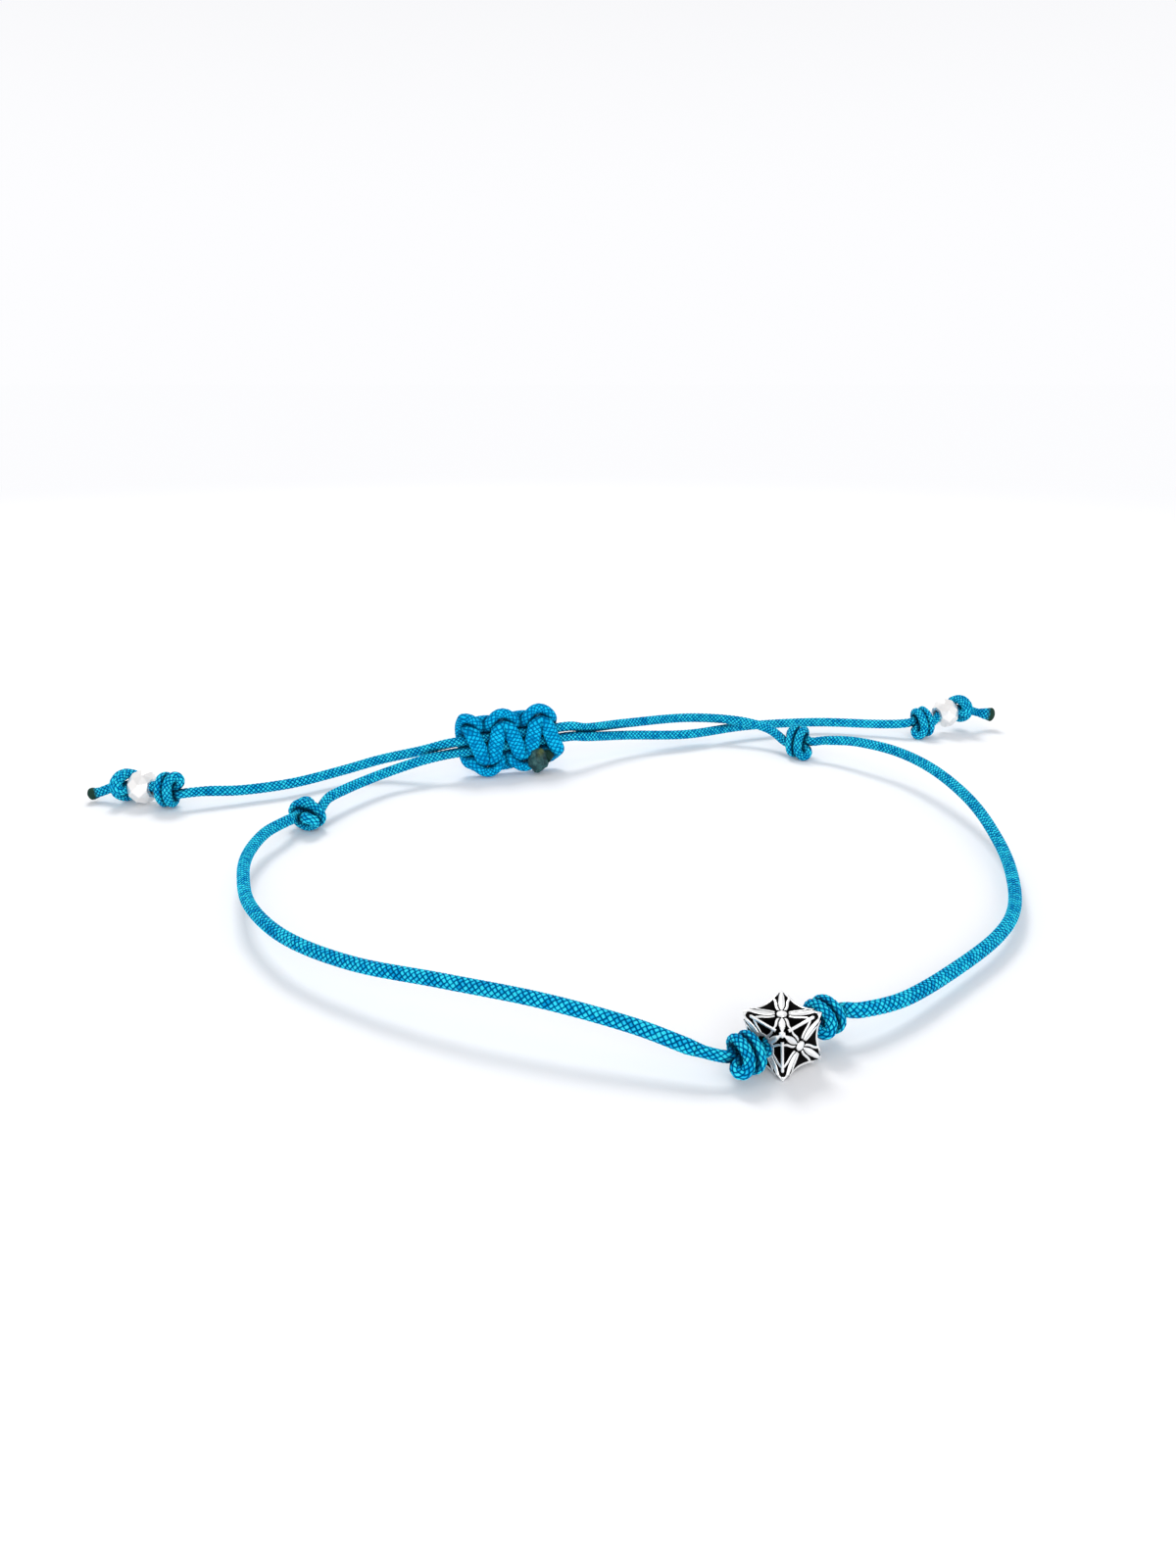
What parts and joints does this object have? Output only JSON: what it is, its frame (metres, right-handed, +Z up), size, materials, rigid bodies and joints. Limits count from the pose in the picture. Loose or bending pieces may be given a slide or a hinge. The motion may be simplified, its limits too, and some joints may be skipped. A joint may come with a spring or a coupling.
{
  "type": "adjustable cord bracelet",
  "caption": "Thin braided cord bracelet lying open on a surface, with a pierced silver cube bead, overhand stopper knots, a sliding knot and small beads near the cord ends.",
  "frame": {"origin": "the middle of the wrist opening, on the surface that the bracelet lies on", "axes": "+Z up from the surface, -Y towards the cube bead at the front, +X to the right as seen from the front"},
  "size_m": [0.0982, 0.0767, 0.0071],
  "materials": {
    "cord": "round braided nylon cord, blue with a soft sheen",
    "knot_cord": "the same braided cord pulled tight in the knots, with dark melted tail tips",
    "wrapping_cord": "the same braided cord flattened round the sliding knot, with one dark melted end",
    "pierced_silver": "polished silver, blackened in its recesses",
    "plain_silver": "bright faceted silver"
  },
  "bodies": {
    "root": {"loop_cord_left": "cord", "loop_cord_right": "cord", "cord_to_right_end": "cord", "cord_to_left_end": "cord", "bead_cord": "cord", "bead_knot_left": "knot_cord", "bead_knot_right": "knot_cord", "stopper_knot_left": "knot_cord", "stopper_knot_right": "knot_cord", "end_knot_left": "knot_cord", "end_knot_right": "knot_cord", "tip_knot_left": "knot_cord", "tip_knot_right": "knot_cord", "sliding_knot": "wrapping_cord", "cube_bead": "pierced_silver", "end_bead_left": "plain_silver", "end_bead_right": "plain_silver"}
  },
  "joints": []
}
